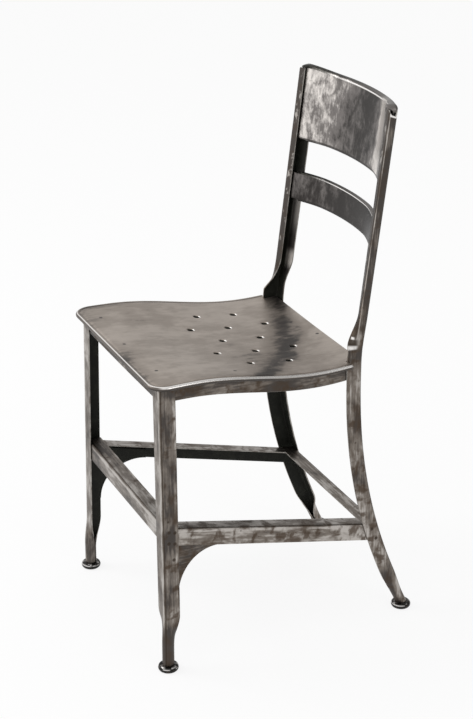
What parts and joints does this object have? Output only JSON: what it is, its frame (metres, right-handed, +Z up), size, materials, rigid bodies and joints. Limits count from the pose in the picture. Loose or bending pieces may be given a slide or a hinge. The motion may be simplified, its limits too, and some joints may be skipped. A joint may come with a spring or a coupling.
{
  "type": "steel classroom chair",
  "caption": "Armless school chair of pressed sheet steel with a dished perforated seat, a curved crest rail and slat, splayed angle legs, stretchers, corner gussets and round foot glides.",
  "frame": {"origin": "on the floor, midway between the seat's front edge and the back of the rear glides, on the chair's middle plane", "axes": "+Z up, +X to the sitter's left, -Y the way the sitter faces"},
  "size_m": [0.369, 0.4421, 0.81],
  "materials": {
    "mottled_leg_steel": "bare steel with brown mottled patina, clear lacquer",
    "mottled_rail_steel": "bare steel with brown mottled patina, clear lacquer",
    "seat_steel": "satin bare steel, cloudy",
    "polished_slat_steel": "polished bare steel with cloudy streaks",
    "plug_steel": "dull",
    "dark_glide_steel": "near-black gloss"
  },
  "bodies": {
    "root": {"ankle_plug_front_left": "plug_steel", "ankle_plug_front_right": "plug_steel", "ankle_plug_rear_left": "plug_steel", "ankle_plug_rear_right": "plug_steel", "apron_front": "mottled_rail_steel", "apron_left": "mottled_rail_steel", "apron_rear": "mottled_rail_steel", "apron_right": "mottled_rail_steel", "back_leg_left": "mottled_leg_steel", "back_leg_right": "mottled_leg_steel", "back_slat": "polished_slat_steel", "crest_rail": "polished_slat_steel", "foot_glide_front_left": "dark_glide_steel", "foot_glide_front_right": "dark_glide_steel", "foot_glide_rear_left": "dark_glide_steel", "foot_glide_rear_right": "dark_glide_steel", "front_leg_left": "mottled_leg_steel", "front_leg_right": "mottled_leg_steel", "gusset_left": "mottled_rail_steel", "gusset_right": "mottled_rail_steel", "seat_pan": "seat_steel", "stretcher_front": "mottled_rail_steel", "stretcher_left": "mottled_rail_steel", "stretcher_rear": "mottled_rail_steel", "stretcher_right": "mottled_rail_steel"}
  },
  "joints": []
}
